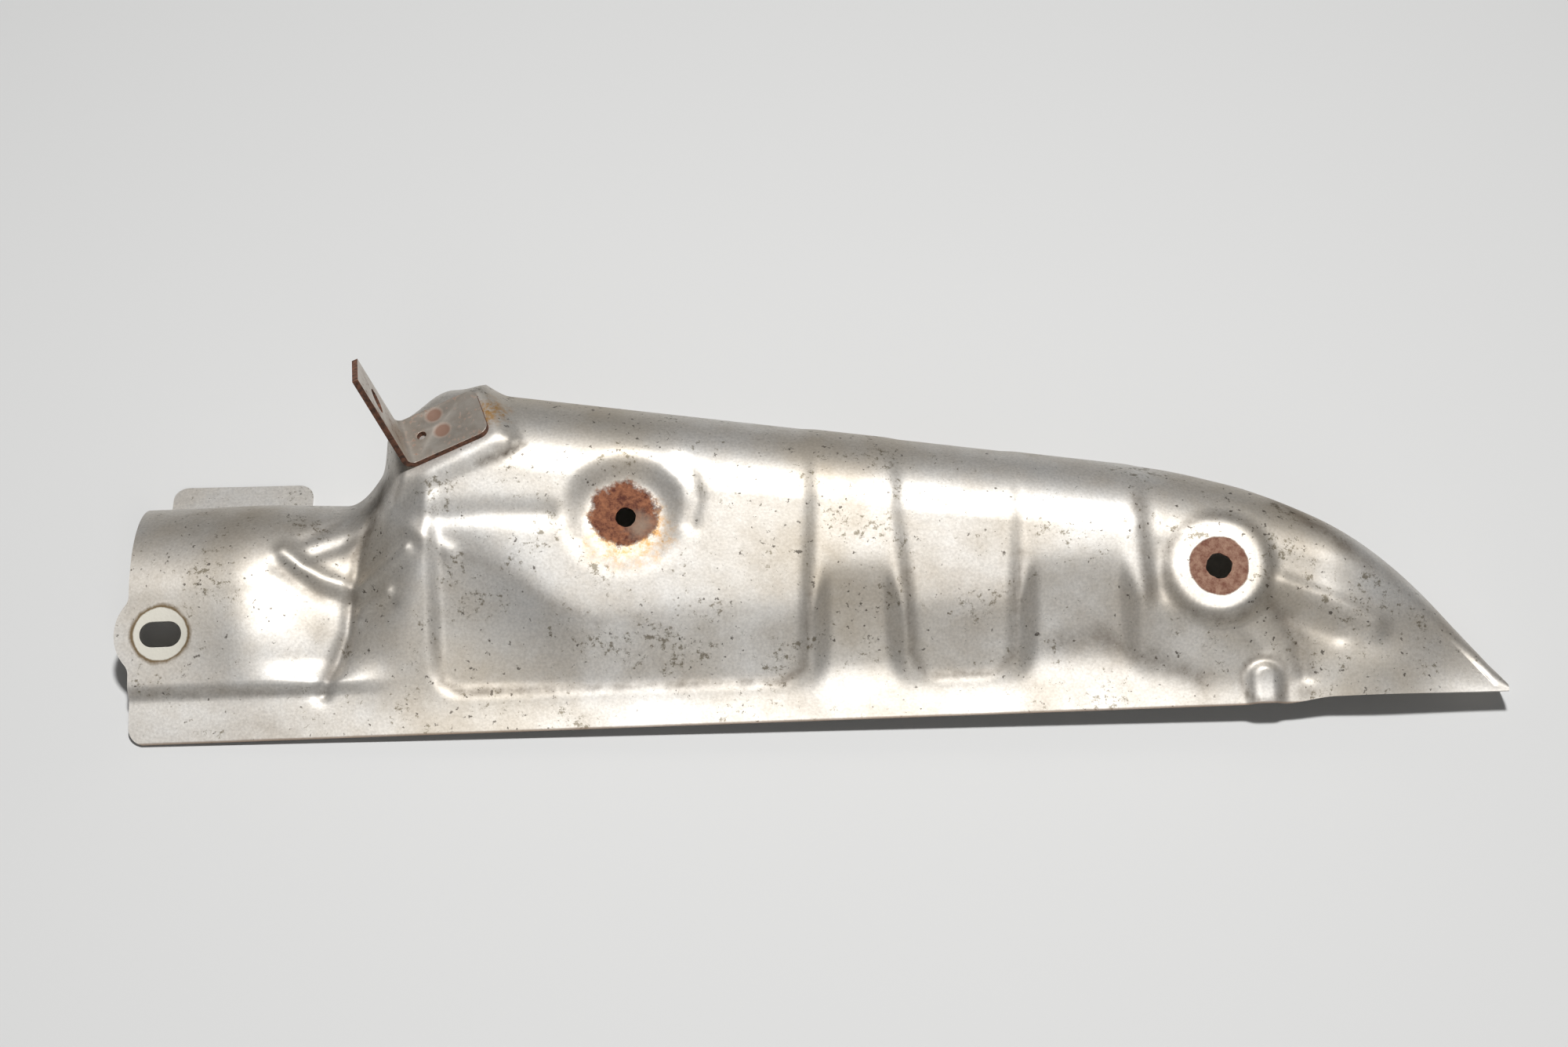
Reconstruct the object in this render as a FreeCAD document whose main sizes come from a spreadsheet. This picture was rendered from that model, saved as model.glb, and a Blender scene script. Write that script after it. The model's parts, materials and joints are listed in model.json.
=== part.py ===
import FreeCAD, Part
import Sketcher
import os
from math import atan, cos, exp, hypot, pi, radians, sin, sqrt
from types import SimpleNamespace

# Exhaust heat shield: a pressed skin of thin aluminised steel with a strip bracket welded on its crown.
# The press frame has X along the shield, Y (depth) from the front edge up the face,
# and Z (height) along the press stroke, which is also the way every bolt through the skin points.

doc = FreeCAD.newDocument("heat_shield")
sheet = doc.addObject("Spreadsheet::Sheet", "sizes")

DIMENSIONS = (
    # Whole skin, in plan
    ("sheet_gauge", 0.8),
    ("overall_length", 446.6),
    ("left_depth", 86.0),
    ("body_depth", 119.5),
    ("nose_depth", 85.0),
    ("tip_depth", 4.4),
    ("nose_length", 116.6),
    ("shoulder_start", 66.0),
    ("shoulder_length", 40.0),
    # Section heights and radii
    ("flange_width", 13.0),
    ("left_step_depth", 15.0),
    ("left_step_height", 3.0),
    ("left_step_run", 4.0),
    ("left_slope", 0.12),
    ("left_fall_run", 12.0),
    ("upper_height", 11.0),
    ("upper_slope", 0.12),
    ("nose_height", 8.5),
    ("tip_height", -4.0),
    ("nose_foot", 8.0),
    ("tip_foot", 2.0),
    ("wall_top", 34.0),
    ("shelf_depth", 66.0),
    ("rib_top", 46.0),
    ("rib_flank", 8.0),
    ("rib_foot", 19.0),
    ("left_crown_radius", 36.0),
    ("body_crown_radius", 30.0),
    ("nose_crown_radius", 28.0),
    ("tip_crown_radius", 8.0),
    ("valley_start", 61.0),
    ("valley_lean", 0.22),
    ("valley_depth", 2.0),
    ("valley_width", 7.0),
    ("valley_run", 10.0),
    ("flank_run", 24.0),
    # Recessed panels, with the ribs left standing between them
    ("panel_recess", 2.4),
    ("recess_at_front", 0.5),
    ("recess_at_crown", 0.3),
    ("panel_corner", 9.0),
    ("panel_edge", 9.0),
    ("panel_splay", 0.08),
    ("first_panel_left", 99.0),
    ("first_panel_right", 221.0),
    ("second_panel_left", 253.0),
    ("second_panel_right", 288.0),
    ("third_panel_left", 329.0),
    # Bolt pads
    ("first_pad_x", 162.8),
    ("first_pad_depth", 67.4),
    ("first_pad_height", 10.8),
    ("first_pad_radius", 15.0),
    ("first_hole_radius", 3.3),
    ("second_pad_from_tip", 92.6),
    ("second_pad_depth", 43.5),
    ("second_pad_height", 12.5),
    ("second_pad_radius", 14.0),
    ("second_hole_radius", 4.2),
    ("pad_blend", 8.0),
    # Slotted ear at the left end
    ("slot_x", 10.5),
    ("slot_depth", 35.6),
    ("slot_length", 13.7),
    ("slot_width", 8.5),
    ("ear_radius", 15.2),
    ("ear_blend", 5.0),
    ("corner_radius", 6.0),
    # Front edge
    ("boss_from_tip", 78.9),
    ("boss_length", 8.0),
    ("boss_radius", 6.6),
    ("boss_height", 2.2),
    ("notch_from_tip", 72.6),
    ("notch_length", 16.0),
    ("notch_depth", 1.7),
    # Tab turned out at the foot of the rear wall
    ("tab_start", 4.0),
    ("tab_length", 48.0),
    ("tab_width", 12.5),
    ("tab_corner", 5.0),
    # How the shield lies: leaning back on its rear wall, its right end tipped up on the nose
    ("lean_angle", 22.0),
    ("roll_angle", 1.2),
    # Bracket and its seat
    ("strip_gauge", 2.0),
    ("strip_width", 24.0),
    ("plate_length", 29.0),
    ("leg_long", 46.0),
    ("leg_short", 33.0),
    ("bend_radius", 2.5),
    ("plate_corner", 3.5),
    ("leg_hole_radius", 4.2),
    ("leg_hole_height", 25.0),
    ("pilot_radius", 1.6),
    ("pilot_reach", 3.5),
    ("weld_radius", 2.8),
    ("weld_dish", 0.5),
    ("weld_spacing", 10.1),
    ("weld_x", 1.2),
    ("weld_offset", 1.6),
    ("seat_x", 103.75),
    ("seat_depth", 101.1),
    ("seat_height", 9.8),
    ("seat_turn", 28.1),
    ("seat_rise", -9.1),
    ("seat_tilt", -31.8),
    ("seat_margin", 4.0),
    ("seat_blend", 8.0),
)
for row, (alias, value) in enumerate(DIMENSIONS, start=1):
    sheet.set(f"A{row}", alias)
    sheet.set(f"B{row}", str(value))
    sheet.setAlias(f"B{row}", alias)
doc.recompute()
d = SimpleNamespace(**{alias: float(sheet.get(alias)) for alias, _ in DIMENSIONS})

# Places worked out from the driving dimensions
body_start = d.shoulder_start + d.shoulder_length
nose_start = d.overall_length - d.nose_length
second_pad_x = d.overall_length - d.second_pad_from_tip
boss_x = d.overall_length - d.boss_from_tip
notch_x = d.overall_length - d.notch_from_tip
lean = radians(d.lean_angle)
roll = radians(d.roll_angle)


def ease(share):
    """Rises smoothly from 0 to 1 as share does."""
    share = min(max(share, 0.0), 1.0)
    return share * share * (3.0 - 2.0 * share)


def along(x, *stations):
    """A value that eases from one (place, value) station to the next."""
    for (x0, value0), (x1, value1) in zip(stations, stations[1:]):
        if x < x1:
            return value0 + (value1 - value0) * ease((x - x0) / (x1 - x0))
    return stations[-1][1]


# Crown: the line of the rear wall in plan, and the roll-over radius above it
taper = (d.body_depth - d.nose_depth) / (nose_start - body_start)


def nose_line(x):
    """Arc that leaves the taper without a kink and ends on the tip."""
    run = d.overall_length - nose_start
    drop = d.nose_depth - d.tip_depth
    scale = hypot(1.0, taper)
    radius = (run**2 + drop**2) * scale / (2.0 * (drop - run * taper))
    centre_x = nose_start - radius * taper / scale
    centre_depth = d.nose_depth - radius / scale
    return centre_depth + sqrt(max(radius**2 - (x - centre_x) ** 2, 0.0))


def crown_depth(x):
    body = nose_line(x) if x > nose_start else d.body_depth - taper * (x - body_start)
    return d.left_depth + (body - d.left_depth) * ease((x - d.shoulder_start) / d.shoulder_length)


def crown_radius(x):
    return along(
        x,
        (d.shoulder_start, d.left_crown_radius),
        (body_start, d.body_crown_radius),
        (nose_start, d.nose_crown_radius),
        (d.overall_length, d.tip_crown_radius),
    )


def front_edge(x):
    return d.notch_depth * ease((x - notch_x) / d.notch_length)


# Face: height of the skin over the press plane, from the front edge to the crown
RIBS = (
    (d.first_panel_right, d.second_panel_left),
    (d.second_panel_right, d.third_panel_left),
)


def ribness(x):
    """1 on the crest of a rib between two panels, 0 inside a panel."""
    return sum(ease(min(x - left, right - x) / d.rib_flank) for left, right in RIBS)


def panel_share(x, depth):
    """How far a place lies inside a recessed panel, from 0 outside to 1 on its floor."""
    splay = d.panel_splay * (depth - d.wall_top)
    corner = d.panel_corner
    share = 0.0
    for left, right in (
        (d.first_panel_left, d.first_panel_right + splay),
        (d.second_panel_left - splay, d.second_panel_right + splay),
    ):
        across = max(left - x, x - right) + corner
        below = d.flange_width - depth + corner
        outside = hypot(max(across, 0.0), max(below, 0.0)) + min(max(across, below), 0.0) - corner
        share = max(share, 1.0 - ease(outside / d.panel_edge + 0.5))
    third = ease((x - d.third_panel_left + splay) / d.panel_edge)
    nose_end = 1.0 - ease((x - second_pad_x) / d.second_pad_radius)
    above_wall = ease((depth - d.flange_width) / (d.wall_top - d.flange_width))
    return max(share, third * nose_end * above_wall)


def recess_depth(x, depth, crown_start):
    """Depth of the panels, which is less at the flange and dies out towards the crown."""
    up_wall = ease((depth - d.flange_width) / (d.wall_top - d.flange_width))
    up_face = min(max((depth - d.wall_top) / (crown_start - d.wall_top), 0.0), 1.0)
    front = d.recess_at_front + (1.0 - d.recess_at_front) * up_wall
    crown = 1.0 - (1.0 - d.recess_at_crown) * up_face
    return d.panel_recess * panel_share(x, depth) * front * crown


def body_face(x, depth):
    """Flange, front wall and gently rising upper face of the main body."""
    foot = d.flange_width + (d.rib_foot - d.flange_width) * ribness(x)
    foot = along(
        x,
        (d.third_panel_left, foot),
        (second_pad_x, d.nose_foot),
        (notch_x, d.nose_foot),
        (d.overall_length, d.tip_foot),
    )
    shelf = along(x, (d.first_panel_left, d.shelf_depth), (d.first_pad_x - d.first_pad_radius, d.wall_top))
    top = shelf + (d.rib_top - shelf) * ribness(x)
    top = along(x, (notch_x, top), (d.overall_length, d.wall_top / 2.0))
    height = along(
        x,
        (d.third_panel_left, d.upper_height),
        (notch_x + d.notch_length, d.nose_height),
        (d.overall_length, d.tip_height),
    )
    upper = height + d.upper_slope * (depth - d.wall_top)
    return upper * ease((depth - foot) / (top - foot))


def left_face(x, depth):
    """Stepped flange and sloping face of the left section, which falls away into the valley."""
    up_face = depth - d.left_step_depth
    step = d.left_step_height * ease(up_face / d.left_step_run)
    slope = d.left_slope * max(up_face - d.left_step_run, 0.0)
    towards_valley = ease(2.0 * x / d.shoulder_start - 1.0)
    return step + slope - d.left_step_height * towards_valley * ease(up_face / d.left_fall_run)


def boss_rise(x, depth):
    """Half-round boss that runs in from the front edge."""
    away = hypot(x - boss_x, max(depth - d.boss_length, 0.0)) / d.boss_radius
    return d.boss_height * (1.0 - ease(2.0 * away - 1.0))


def face_height(x, depth, crown_start):
    valley = d.valley_start + d.valley_lean * depth
    flank = ease((x - valley) / d.flank_run)
    body = body_face(x, depth) - recess_depth(x, depth, crown_start)
    height = left_face(x, depth) * (1.0 - flank) + body * flank
    fold = exp(-(((x - valley) / d.valley_width) ** 2)) * ease((depth - d.left_step_depth) / d.valley_run)
    return height - d.valley_depth * fold + boss_rise(x, depth)


# Flats pressed into the face: the two bolt pads and the bracket seat
PADS = (
    (d.first_pad_x, d.first_pad_depth, d.first_pad_height, d.first_pad_radius),
    (second_pad_x, d.second_pad_depth, d.second_pad_height, d.second_pad_radius),
)
seat_rotation = FreeCAD.Rotation(d.seat_turn, d.seat_rise, d.seat_tilt)
seat = FreeCAD.Placement(FreeCAD.Vector(d.seat_x, d.seat_depth, d.seat_height), seat_rotation)
seat_normal = seat_rotation.multVec(FreeCAD.Vector(0, 0, 1))


def flattened(x, depth, height):
    for pad_x, pad_depth, pad_height, radius in PADS:
        share = 1.0 - ease((hypot(x - pad_x, depth - pad_depth) - radius) / d.pad_blend)
        height += (pad_height - height) * share
    rise = seat_normal.x * (x - d.seat_x) + seat_normal.y * (depth - d.seat_depth)
    seat_level = d.seat_height - rise / seat_normal.z
    place = seat.inverse().multVec(FreeCAD.Vector(x, depth, seat_level))
    over = max(
        abs(place.x) - d.plate_length / 2.0,
        abs(place.y) - d.strip_width / 2.0,
    )
    share = 1.0 - ease((over - d.seat_margin) / d.seat_blend)
    return height + (seat_level - height) * share


# Section at a station along X: front edge, face, roll-over and rear wall down to the table
FACE_ROWS = (0.0, 0.09, 0.2, 0.35, 0.55, 0.78)
ROLL_ROWS = (0.0, 0.25, 0.5, 0.75, 1.0)
FLAT_SHARE = 0.55
TIP_FLAT = 0.2
FACE_LEFT = 0.2
table_height = -d.sheet_gauge * cos(lean)
rest_turn = FreeCAD.Rotation(FreeCAD.Vector(0, -1, 0), d.roll_angle) * FreeCAD.Rotation(
    FreeCAD.Vector(1, 0, 0), d.lean_angle
)


def foot_height(x, depth):
    """Press height at which the outer face of the rear wall meets the table."""
    level = table_height + d.sheet_gauge * sin(lean)
    return ((level - x * sin(roll)) / cos(roll) - depth * sin(lean)) / cos(lean)


def section(x):
    """Outer face points, the first and last pair of which are straight runs."""
    slope = atan(along(x, (d.shoulder_start, d.left_slope), (body_start, d.upper_slope)))
    edge = front_edge(x)
    crown = crown_depth(x)
    flat_end = edge + along(x, (notch_x, FLAT_SHARE * d.flange_width), (d.overall_length, TIP_FLAT))
    radius = min(crown_radius(x), (crown - flat_end) / (1.0 + FACE_LEFT + sin(slope)))
    crown_start = crown - radius * (1.0 + sin(slope))

    def face_point(depth):
        return depth, flattened(x, depth, face_height(x, depth, crown_start))

    points = [face_point(edge)]
    for share in FACE_ROWS:
        points.append(face_point(flat_end + (crown_start - flat_end) * share))
    top = face_height(x, crown_start, crown_start)
    for share in ROLL_ROWS:
        angle = -slope + (pi / 2.0 + slope) * share
        depth = crown_start + radius * (sin(angle) + sin(slope))
        height = top + radius * (cos(angle) - cos(slope))
        points.append((depth, flattened(x, depth, height)))
    points.append((crown, foot_height(x, crown)))
    return [FreeCAD.Vector(x, depth, height) for depth, height in points]


def inner_section(x):
    """The same section one sheet gauge inside the skin, kept in the plane of the station."""
    step = 0.5
    outer = section(x)
    before = section(x - step)
    after = section(x + step)
    inner = []
    for i, point in enumerate(outer):
        up_the_section = outer[min(i + 1, len(outer) - 1)] - outer[max(i - 1, 0)]
        normal = (after[i] - before[i]).cross(up_the_section)
        normal.normalize()
        in_plane = normal.y**2 + normal.z**2
        inner.append(point - FreeCAD.Vector(0, normal.y, normal.z) * (d.sheet_gauge / in_plane))
    return inner


def skin_edges(points):
    """Straight run, smooth curve and straight run through a row of points."""
    curve = Part.BSplineCurve()
    curve.buildFromPoles(points[1:-1], False, 3)
    first_run = Part.LineSegment(points[0], points[1])
    last_run = Part.LineSegment(points[-2], points[-1])
    return [first_run.toShape(), curve.toShape(), last_run.toShape()]


def section_wire(x):
    """Closed outline of the sheet: up the outer face, round the foot and back down the inner face."""
    outer = section(x)
    inner = inner_section(x)[::-1]
    foot_edge = Part.LineSegment(outer[-1], inner[0]).toShape()
    front_rim = Part.LineSegment(inner[-1], outer[0]).toShape()
    return Part.Wire(skin_edges(outer) + [foot_edge] + skin_edges(inner) + [front_rim])


def spread(first, last, count):
    return [first + (last - first) * i / (count - 1) for i in range(count)]


def stations():
    """Places of the sections: close together over the edges of features, far apart between them."""
    least_gap = 4.5
    most_gap = 13.0
    trim_margin = 3.0
    places = spread(d.slot_x - d.ear_radius - trim_margin, d.slot_x + d.ear_radius, 3)
    places += spread(d.slot_x + 2.0 * d.ear_radius, d.shoulder_start, 4)
    places += spread(d.shoulder_start, body_start + d.seat_margin, 8)
    for left, right in RIBS:
        for edge in (left, right):
            places += [edge - d.rib_flank, edge, edge + d.rib_flank]
        places.append((left + right) / 2.0)
    for pad_x, _, _, radius in PADS:
        places += spread(pad_x - radius - d.pad_blend, pad_x + radius + d.pad_blend, 5)
    places += spread(boss_x - d.boss_radius, boss_x + d.boss_radius, 5)
    places += spread(notch_x + d.notch_length, d.overall_length, 4)
    places.sort()
    kept = [places[0]]
    for place in places[1:-1]:
        if place - kept[-1] > least_gap and d.overall_length - place > least_gap:
            kept.append(place)
    kept.append(d.overall_length)
    filled = kept[:1]
    for before, after in zip(kept, kept[1:]):
        filled += spread(before, after, int((after - before) / most_gap) + 2)[1:]
    return filled


blank = doc.addObject("Part::Feature", "pressed_blank")
blank.Shape = Part.makeLoft([section_wire(x) for x in stations()], True, True)


# Trim and pierce tools, all working along the press stroke
STROKE_BELOW = -d.body_depth
STROKE = 2.0 * d.body_depth


def outline_sketch(name, edges):
    """Closed outline in the press plane, each piece joined to the next."""
    sketch = doc.addObject("Sketcher::SketchObject", name)
    sketch.Placement.Base.z = STROKE_BELOW
    for edge in edges:
        sketch.addGeometry(edge)
    return sketch


def press_tool(name, sketch):
    tool = doc.addObject("Part::Extrusion", name)
    tool.Base = sketch
    tool.DirMode = "Custom"
    tool.Dir = FreeCAD.Vector(0, 0, 1)
    tool.LengthFwd = STROKE
    tool.Solid = True
    return tool


def at(x, depth):
    return FreeCAD.Vector(x, depth, 0)


def line(start, end):
    return Part.LineSegment(start, end)


def arc(centre, radius, start, end):
    circle = Part.Circle(centre, FreeCAD.Vector(0, 0, 1), radius)
    return Part.ArcOfCircle(circle, start, end)


def bind_radii(sketch, *expressions):
    """Ties the radii of the sketch's arcs and circles, in the order drawn, to the sheet."""
    round_pieces = [i for i, piece in enumerate(sketch.Geometry) if hasattr(piece, "Radius")]
    for order, (piece, expression) in enumerate(zip(round_pieces, expressions)):
        sketch.addConstraint(Sketcher.Constraint("Radius", piece, sketch.Geometry[piece].Radius))
        sketch.setExpression(f"Constraints[{order}]", expression)


def left_trim_outline():
    """Waste outside the left end: rounded front corner, straight edge and the ear round the slot."""
    waste = -2.0 * d.ear_radius
    bite = d.sheet_gauge / 4.0
    blend_reach = sqrt((d.ear_radius + d.ear_blend) ** 2 - (d.slot_x + d.ear_blend) ** 2)
    blend_angle = atan(blend_reach / (d.slot_x + d.ear_blend))
    low = d.slot_depth - blend_reach
    high = d.slot_depth + blend_reach
    corner_level = d.corner_radius - bite
    top = 1.5 * d.left_depth
    return [
        line(at(waste, waste), at(d.corner_radius, waste)),
        line(at(d.corner_radius, waste), at(d.corner_radius, -bite)),
        arc(at(d.corner_radius, corner_level), d.corner_radius, pi, 1.5 * pi),
        line(at(0, corner_level), at(0, low)),
        arc(at(-d.ear_blend, low), d.ear_blend, 0, blend_angle),
        arc(at(d.slot_x, d.slot_depth), d.ear_radius, pi - blend_angle, pi + blend_angle),
        arc(at(-d.ear_blend, high), d.ear_blend, -blend_angle, 0),
        line(at(0, high), at(0, top)),
        line(at(0, top), at(waste, top)),
        line(at(waste, top), at(waste, waste)),
    ]


trim_sketch = outline_sketch("left_trim_outline", left_trim_outline())
bind_radii(trim_sketch, "sizes.corner_radius", "sizes.ear_blend", "sizes.ear_radius", "sizes.ear_blend")
left_trim = press_tool("left_trim", trim_sketch)


def slot_outline():
    radius = d.slot_width / 2.0
    reach = (d.slot_length - d.slot_width) / 2.0
    left = d.slot_x - reach
    right = d.slot_x + reach
    return [
        line(at(left, d.slot_depth - radius), at(right, d.slot_depth - radius)),
        arc(at(right, d.slot_depth), radius, -pi / 2.0, pi / 2.0),
        line(at(right, d.slot_depth + radius), at(left, d.slot_depth + radius)),
        arc(at(left, d.slot_depth), radius, pi / 2.0, 1.5 * pi),
    ]


slot_sketch = outline_sketch("slot_outline", slot_outline())
bind_radii(slot_sketch, "sizes.slot_width / 2", "sizes.slot_width / 2")
slot_punch = press_tool("slot_punch", slot_sketch)


def hole_punch(name, x, depth, radius_alias):
    punch = doc.addObject("Part::Cylinder", name)
    punch.setExpression("Radius", f"sizes.{radius_alias}")
    punch.Height = STROKE
    punch.Placement.Base = FreeCAD.Vector(x, depth, STROKE_BELOW)
    return punch


first_punch = hole_punch("first_hole_punch", d.first_pad_x, d.first_pad_depth, "first_hole_radius")
second_punch = hole_punch("second_hole_punch", second_pad_x, d.second_pad_depth, "second_hole_radius")

tools = doc.addObject("Part::MultiFuse", "trim_and_pierce")
tools.Shapes = [left_trim, slot_punch, first_punch, second_punch]
trimmed = doc.addObject("Part::Cut", "trimmed_skin")
trimmed.Base = blank
trimmed.Tool = tools

# Tab turned outwards at the foot of the left section's rear wall, flat on the table
tab_foot = rest_turn.multVec(FreeCAD.Vector(d.tab_start, d.left_depth, foot_height(d.tab_start, d.left_depth)))
tab_plate = doc.addObject("Part::Box", "tab_plate")
tab_plate.setExpression("Length", "sizes.tab_length")
tab_plate.setExpression("Width", "sizes.tab_width")
tab_plate.setExpression("Height", "sizes.sheet_gauge")
tab_bite = 0.75 * d.sheet_gauge
tab_place = FreeCAD.Vector(tab_foot.x, tab_foot.y - tab_bite, table_height)
tab_plate.Placement = FreeCAD.Placement(FreeCAD.Vector(), rest_turn.inverted()) * FreeCAD.Placement(
    tab_place, FreeCAD.Rotation()
)
doc.recompute()


def far_corners(box):
    """Numbers of the two short edges at the outer corners of the tab."""
    placed = box.Placement.inverse()
    found = []
    for number, edge in enumerate(box.Shape.Edges, start=1):
        middle = placed.multVec(edge.CenterOfMass)
        if abs(edge.Length - d.sheet_gauge) < 1e-6 and middle.y > d.tab_width / 2.0:
            found.append(number)
    return found


tab = doc.addObject("Part::Fillet", "rear_tab")
tab.Base = tab_plate
tab.Edges = [(number, d.tab_corner, d.tab_corner) for number in far_corners(tab_plate)]
skin = doc.addObject("Part::Fuse", "skin_with_tab")
skin.Base = trimmed
skin.Tool = tab
doc.recompute()


# Bracket: a strip bent to an L, its plate lying on the seat and its leg standing off the crown
def plane_of(body, role):
    return next(plane for plane in body.Origin.OriginFeatures if plane.Role == role)


def body_sketch(body, name, role, geometry):
    sketch = body.newObject("Sketcher::SketchObject", name)
    sketch.AttachmentSupport = [(plane_of(body, role), "")]
    sketch.MapMode = "FlatFace"
    for piece in geometry:
        sketch.addGeometry(piece)
    return sketch


def circle(x, y, radius):
    return Part.Circle(FreeCAD.Vector(x, y, 0), FreeCAD.Vector(0, 0, 1), radius)


def strip_profile():
    """The L seen along the width: plate along the sketch's X, leg up its Y."""
    right = d.plate_length / 2.0
    left = -right
    outer = d.bend_radius + d.strip_gauge
    bend = at(left + outer, outer)
    return [
        line(at(left + outer, 0), at(right, 0)),
        line(at(right, 0), at(right, d.strip_gauge)),
        line(at(right, d.strip_gauge), at(left + outer, d.strip_gauge)),
        arc(bend, d.bend_radius, pi, 1.5 * pi),
        line(at(left + d.strip_gauge, outer), at(left + d.strip_gauge, d.leg_long)),
        line(at(left + d.strip_gauge, d.leg_long), at(left, d.leg_long)),
        line(at(left, d.leg_long), at(left, outer)),
        arc(bend, outer, pi, 1.5 * pi),
    ]


def through_cut(body, name, role, geometry):
    cut = body.newObject("PartDesign::Pocket", name)
    cut.Profile = body_sketch(body, f"{name}_outline", role, geometry)
    cut.Type = "ThroughAll"
    cut.Midplane = True
    return cut


bracket = doc.addObject("PartDesign::Body", "bracket")
bracket.Label = "bracket"
strip = bracket.newObject("PartDesign::Pad", "strip")
strip.Profile = body_sketch(bracket, "strip_profile", "XZ_Plane", strip_profile())
strip.Midplane = True
strip.setExpression("Length", "sizes.strip_width")
doc.recompute()

half_width = d.strip_width / 2.0
through_cut(
    bracket,
    "slanted_leg_end",
    "YZ_Plane",
    [
        line(at(-half_width, d.leg_long), at(half_width, d.leg_short)),
        line(at(half_width, d.leg_short), at(half_width, 2.0 * d.leg_long)),
        line(at(half_width, 2.0 * d.leg_long), at(-half_width, 2.0 * d.leg_long)),
        line(at(-half_width, 2.0 * d.leg_long), at(-half_width, d.leg_long)),
    ],
)
leg_hole = through_cut(bracket, "leg_hole", "YZ_Plane", [circle(0, d.leg_hole_height, d.leg_hole_radius)])
bind_radii(leg_hole.Profile[0], "sizes.leg_hole_radius")
pilot_x = d.bend_radius + d.strip_gauge + d.pilot_reach - d.plate_length / 2.0
pilot_hole = through_cut(bracket, "pilot_hole", "XY_Plane", [circle(pilot_x, 0, d.pilot_radius)])
bind_radii(pilot_hole.Profile[0], "sizes.pilot_radius")

weld_marks = bracket.newObject("PartDesign::Pocket", "weld_marks")
weld_sketch = body_sketch(
    bracket,
    "weld_marks_outline",
    "XY_Plane",
    [circle(d.weld_x, d.weld_offset + way * d.weld_spacing / 2.0, d.weld_radius) for way in (-1, 1)],
)
weld_sketch.setExpression(".AttachmentOffset.Base.z", "sizes.strip_gauge")
bind_radii(weld_sketch, "sizes.weld_radius", "sizes.weld_radius")
weld_marks.Profile = weld_sketch
weld_marks.setExpression("Length", "sizes.weld_dish")
doc.recompute()

end_corners = [
    f"Edge{number}"
    for number, edge in enumerate(weld_marks.Shape.Edges, start=1)
    if abs(edge.Length - d.strip_gauge) < 1e-6 and edge.CenterOfMass.x > d.plate_length / 2.0 - 1e-6
]
rounded = bracket.newObject("PartDesign::Fillet", "rounded_corners")
rounded.Base = (weld_marks, end_corners)
rounded.setExpression("Radius", "sizes.plate_corner")
doc.recompute()

# Rest pose: both pieces turn as one, with the origin under the middle of the finished part
turned = FreeCAD.Placement(FreeCAD.Vector(), rest_turn)
bracket.Placement = turned * seat
whole = Part.Compound([skin.Shape.transformed(turned.toMatrix()), bracket.Shape])
box = whole.optimalBoundingBox(False, False)
shift = FreeCAD.Vector(-(box.XMin + box.XMax) / 2.0, -(box.YMin + box.YMax) / 2.0, -box.ZMin)
rest = FreeCAD.Placement(shift, FreeCAD.Rotation()) * turned

shield = doc.addObject("Part::Feature", "shield")
shield.Label = "shield"
shield.Shape = skin.Shape
shield.Placement = rest
bracket.Placement = rest * seat
doc.recompute()

for item in doc.Objects:
    failed = {"Invalid", "Error"}.intersection(item.State)
    if failed:
        raise RuntimeError(f"{item.Name} failed: {item.State}")

os.makedirs("parts", exist_ok=True)
for piece in (shield, bracket):
    if piece.Shape.isNull() or not piece.Shape.isValid() or len(piece.Shape.Solids) != 1:
        raise RuntimeError(f"{piece.Label} is not one valid solid")
    piece.Shape.exportStep(f"parts/{piece.Label}.step")
    print(piece.Label, round(piece.Shape.Volume), piece.Shape.BoundBox)
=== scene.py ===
import json
from math import atan, cos, exp, hypot, inf, pi, radians, sin, sqrt

import bmesh
import bpy
from mathutils import Matrix, Vector


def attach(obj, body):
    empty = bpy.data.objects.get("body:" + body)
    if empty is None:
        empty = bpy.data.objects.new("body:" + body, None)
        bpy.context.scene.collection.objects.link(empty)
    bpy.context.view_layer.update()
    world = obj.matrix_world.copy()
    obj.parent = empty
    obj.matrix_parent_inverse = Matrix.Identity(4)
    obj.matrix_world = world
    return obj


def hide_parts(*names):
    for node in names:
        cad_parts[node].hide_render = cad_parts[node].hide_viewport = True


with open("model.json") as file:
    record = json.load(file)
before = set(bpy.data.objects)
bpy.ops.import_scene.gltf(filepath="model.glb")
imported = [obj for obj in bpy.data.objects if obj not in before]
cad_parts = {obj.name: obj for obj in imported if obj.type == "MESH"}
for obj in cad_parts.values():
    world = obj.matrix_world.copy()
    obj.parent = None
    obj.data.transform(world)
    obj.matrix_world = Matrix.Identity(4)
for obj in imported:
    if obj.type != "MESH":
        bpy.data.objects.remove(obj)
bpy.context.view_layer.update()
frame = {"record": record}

# Skin: one sheet of 0.8 mm aluminised steel, drawn, trimmed and pierced in a press, and held by bolts.
# It leans back on its rear wall; sizes are in mm in the press frame, with x along the shield,
# depth from the front edge up the face, and height along the press stroke.
MM = 0.001
GAUGE = 0.8
LENGTH = 446.6
LEFT_DEPTH = 86.0
BODY_DEPTH = 119.5
NOSE_DEPTH = 85.0
TIP_DEPTH = 4.4
SHOULDER_START = 66.0
BODY_START = 106.0
NOSE_START = 330.0
FLANGE = 13.0
NOSE_FLANGE = 8.0
TIP_FLANGE = 2.0
WALL_TOP = 34.0
SHELF_DEPTH = 66.0
UPPER_HEIGHT = 12.2
UPPER_SLOPE = 0.08
NOSE_HEIGHT = 8.5
TIP_HEIGHT = -4.0
STEP_DEPTH = 15.0
STEP_HEIGHT = 3.0
STEP_RUN = 3.0
LEFT_SLOPE = 0.05
LEFT_FALL_RUN = 12.0
LEFT_CROWN_RADIUS = 36.0
BODY_CROWN_RADIUS = 30.0
NOSE_CROWN_RADIUS = 28.0
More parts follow.
